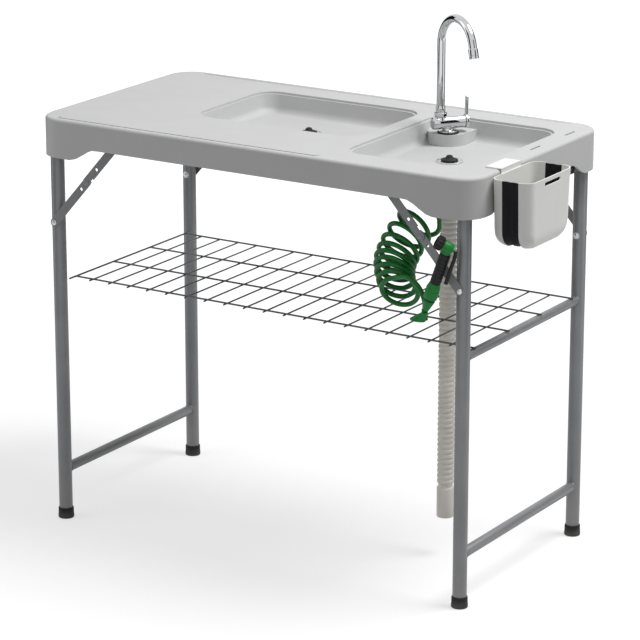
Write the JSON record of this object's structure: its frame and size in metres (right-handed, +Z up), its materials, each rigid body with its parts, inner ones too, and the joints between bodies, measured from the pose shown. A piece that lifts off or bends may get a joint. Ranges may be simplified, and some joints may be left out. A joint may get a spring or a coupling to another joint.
{
  "type": "camping sink stand",
  "caption": "Folding outdoor sink stand: moulded worktop with two basins and a gooseneck faucet, wire rack, drain hose, coiled spray hose and a hooked-on bin.",
  "frame": {"origin": "on the floor, midway between the sides and the front and rear of the stand, measured without its green hose", "axes": "+X along the worktop towards the bin, +Y to the rear, +Z up"},
  "size_m": [1.1658, 0.5924, 1.1544],
  "materials": {
    "worktop_plastic": "fine texture",
    "powder_coated_steel": "satin powder coat",
    "foot_rubber": "matt",
    "black_plastic": "matt",
    "coated_wire": "satin",
    "drain_steel": "brushed",
    "black_rubber": "matt",
    "chrome": "polished",
    "zinc": "plain",
    "ribbed_hose": "satin",
    "hose_green": "satin",
    "gun_green": "satin",
    "gun_black": "matt",
    "bin_plastic": "satin",
    "bin_gusset": "matt"
  },
  "bodies": {
    "stand_top": {"worktop": "worktop_plastic", "left_drain_flange": "drain_steel", "right_drain_flange": "drain_steel", "left_drain_nut": "black_plastic", "right_drain_nut": "black_plastic", "drain_hose": "ribbed_hose", "faucet_gasket": "black_rubber", "faucet_body": "chrome", "faucet_backnut": "zinc", "spout_nut": "chrome", "hose_union": "gun_green", "hose_lead": "hose_green", "hose_coil": "hose_green", "hose_tail": "hose_green", "gun_head": "gun_green", "gun_grip": "gun_black", "gun_connector": "gun_green", "gun_seal_ring": "black_rubber", "gun_hose_tail": "gun_green", "left_front_hinge_block": "black_plastic", "left_front_stay_bracket": "powder_coated_steel", "left_rear_hinge_block": "black_plastic", "left_rear_stay_bracket": "powder_coated_steel", "right_front_hinge_block": "black_plastic", "right_front_stay_bracket": "powder_coated_steel", "right_rear_hinge_block": "black_plastic", "right_rear_stay_bracket": "powder_coated_steel"},
    "left_legs": {"left_leg_frame": "powder_coated_steel", "left_front_foot": "foot_rubber", "left_rear_foot": "foot_rubber"},
    "right_legs": {"right_leg_frame": "powder_coated_steel", "right_front_foot": "foot_rubber", "right_rear_foot": "foot_rubber"},
    "left_front_upper_link": {"left_front_upper_stay": "powder_coated_steel"},
    "left_front_lower_link": {"left_front_lower_stay": "powder_coated_steel"},
    "left_rear_upper_link": {"left_rear_upper_stay": "powder_coated_steel"},
    "left_rear_lower_link": {"left_rear_lower_stay": "powder_coated_steel"},
    "right_front_upper_link": {"right_front_upper_stay": "powder_coated_steel"},
    "right_front_lower_link": {"right_front_lower_stay": "powder_coated_steel"},
    "right_rear_upper_link": {"right_rear_upper_stay": "powder_coated_steel"},
    "right_rear_lower_link": {"right_rear_lower_stay": "powder_coated_steel"},
    "wire_rack": {"rack": "coated_wire"},
    "spout_neck": {"spout": "chrome", "spout_aerator": "chrome"},
    "water_lever": {"faucet_lever": "chrome"},
    "left_plug": {"left_stopper": "black_rubber"},
    "right_plug": {"right_stopper": "black_rubber"},
    "hung_bin": {"bin_hook": "bin_plastic", "bin_back_shell": "bin_plastic", "bin_gusset": "bin_gusset"},
    "bin_front": {"bin_front_shell": "bin_plastic"},
    "spray_trigger": {"gun_trigger": "gun_black"},
    "spray_dial": {"gun_dial": "gun_black"}
  },
  "joints": [
    {"name": "left_leg_fold", "type": "hinge", "parent": "stand_top", "child": "left_legs", "pos_m": [-0.5479, 0.01523, 0.8675], "axis": [0, -1, 0], "range_deg": [0, 28]},
    {"name": "right_leg_fold", "type": "hinge", "parent": "stand_top", "child": "right_legs", "pos_m": [0.4521, 0.01523, 0.835], "axis": [0, 1, 0], "range_deg": [0, 28], "deforming": ["drain_hose"]},
    {"name": "rack_lift", "type": "slide", "parent": "stand_top", "child": "wire_rack", "axis": [0, 0, 1], "range_m": [0, 0.0395]},
    {"name": "left_front_upper_pivot", "type": "hinge", "parent": "stand_top", "child": "left_front_upper_link", "pos_m": [-0.3679, 0.01523, 0.88], "axis": [0, 1, 0], "range_deg": [0, 27]},
    {"name": "left_front_lower_pivot", "type": "hinge", "parent": "left_legs", "child": "left_front_lower_link", "pos_m": [-0.5479, 0.01523, 0.677], "axis": [0, -1, 0], "range_deg": [0, 28.88]},
    {"name": "left_rear_upper_pivot", "type": "hinge", "parent": "stand_top", "child": "left_rear_upper_link", "pos_m": [-0.3679, 0.01523, 0.88], "axis": [0, 1, 0], "range_deg": [0, 27]},
    {"name": "left_rear_lower_pivot", "type": "hinge", "parent": "left_legs", "child": "left_rear_lower_link", "pos_m": [-0.5479, 0.01523, 0.677], "axis": [0, -1, 0], "range_deg": [0, 28.88]},
    {"name": "right_front_upper_pivot", "type": "hinge", "parent": "stand_top", "child": "right_front_upper_link", "pos_m": [0.2721, 0.01523, 0.88], "axis": [0, -1, 0], "range_deg": [0, 26.75]},
    {"name": "right_front_lower_pivot", "type": "hinge", "parent": "right_legs", "child": "right_front_lower_link", "pos_m": [0.4521, 0.01523, 0.677], "axis": [0, 1, 0], "range_deg": [0, 22.2]},
    {"name": "right_rear_upper_pivot", "type": "hinge", "parent": "stand_top", "child": "right_rear_upper_link", "pos_m": [0.2721, 0.01523, 0.88], "axis": [0, -1, 0], "range_deg": [0, 26.75]},
    {"name": "right_rear_lower_pivot", "type": "hinge", "parent": "right_legs", "child": "right_rear_lower_link", "pos_m": [0.4521, 0.01523, 0.677], "axis": [0, 1, 0], "range_deg": [0, 22.2]},
    {"name": "spout_swivel", "type": "hinge", "parent": "stand_top", "child": "spout_neck", "pos_m": [0.18807, 0.12725, 0.953], "axis": [0, 0, 1], "continuous": true},
    {"name": "lever_turn", "type": "hinge", "parent": "stand_top", "child": "water_lever", "pos_m": [0.22448, 0.17557, 0.913], "axis": [0.6018, 0.7986, 0], "range_deg": [0, 90]},
    {"name": "left_plug_lift", "type": "slide", "parent": "stand_top", "child": "left_plug", "axis": [0, 0, 1], "range_m": [0, 0.04]},
    {"name": "right_plug_lift", "type": "slide", "parent": "stand_top", "child": "right_plug", "axis": [0, 0, 1], "range_m": [0, 0.04]},
    {"name": "bin_lift", "type": "slide", "parent": "stand_top", "child": "hung_bin", "axis": [0, 0, 1], "range_m": [0, 0.06]},
    {"name": "bin_collapse", "type": "slide", "parent": "hung_bin", "child": "bin_front", "axis": [-1, 0, 0], "range_m": [0, 0.034], "deforming": ["bin_gusset"]},
    {"name": "trigger_pull", "type": "hinge", "parent": "stand_top", "child": "spray_trigger", "pos_m": [0.4546, -0.27127, 0.76359], "axis": [0, 1, 0], "range_deg": [0, 5], "stiffness_Nm_per_rad": 0.5},
    {"name": "dial_turn", "type": "hinge", "parent": "stand_top", "child": "spray_dial", "pos_m": [0.43635, -0.27127, 0.77017], "axis": [-0.719, -0.4793, 0.5033], "continuous": true}
  ],
  "couplings": [
    {"joint": "right_leg_fold", "follows": "left_leg_fold", "ratio": 1},
    {"joint": "rack_lift", "follows": "left_leg_fold", "m_per_rad": 0.08082},
    {"joint": "left_front_upper_pivot", "follows": "left_leg_fold", "ratio": 0.9606},
    {"joint": "left_front_lower_pivot", "follows": "left_leg_fold", "ratio": 1.028},
    {"joint": "left_rear_upper_pivot", "follows": "left_leg_fold", "ratio": 0.9606},
    {"joint": "left_rear_lower_pivot", "follows": "left_leg_fold", "ratio": 1.028},
    {"joint": "right_front_upper_pivot", "follows": "left_leg_fold", "ratio": 0.95169},
    {"joint": "right_front_lower_pivot", "follows": "left_leg_fold", "ratio": 0.78933},
    {"joint": "right_rear_upper_pivot", "follows": "left_leg_fold", "ratio": 0.95169},
    {"joint": "right_rear_lower_pivot", "follows": "left_leg_fold", "ratio": 0.78933}
  ]
}
